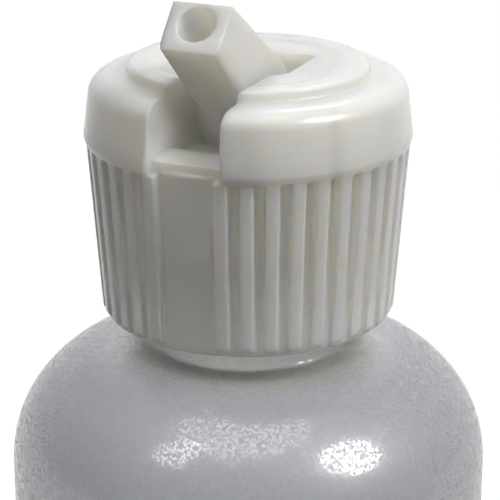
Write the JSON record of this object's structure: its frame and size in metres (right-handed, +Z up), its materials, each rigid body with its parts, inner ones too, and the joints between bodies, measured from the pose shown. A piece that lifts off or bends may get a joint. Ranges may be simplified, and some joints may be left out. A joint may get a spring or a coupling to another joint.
{
  "type": "spout bottle",
  "caption": "Small round squeeze bottle with a ribbed screw cap and a spout that swings from flat in its slot to upright.",
  "frame": {"origin": "centre of the bottle's foot, on the surface it stands on", "axes": "+Z up along the bottle's axis, -Y the way the spout points, +X to the right of someone who looks at the spout from the front"},
  "size_m": [0.039, 0.039, 0.1021],
  "materials": {
    "bottle": "milky, see-through, with a faint orange-peel",
    "liner": "soft foamed plastic",
    "cap": "smooth gloss",
    "spout": "smooth gloss"
  },
  "bodies": {
    "bottle": {"bottle": "bottle"},
    "seal": {"liner": "liner"},
    "cap": {"cap": "cap"},
    "spout": {"spout": "spout"}
  },
  "joints": [
    {"name": "cap_rise", "type": "slide", "parent": "bottle", "child": "seal", "axis": [0, 0, 1], "range_m": [0, 0.00477]},
    {"name": "cap_turn", "type": "hinge", "parent": "seal", "child": "cap", "pos_m": [0, 0, 0.07545], "axis": [0, 0, 1], "range_deg": [0, 540]},
    {"name": "spout_flip", "type": "hinge", "parent": "cap", "child": "spout", "pos_m": [0, -0.0005, 0.09235], "axis": [-1, 0, 0], "range_deg": [-37.2, 47.3]}
  ],
  "couplings": [
    {"joint": "cap_rise", "follows": "cap_turn", "m_per_rad": 0.00050532}
  ]
}
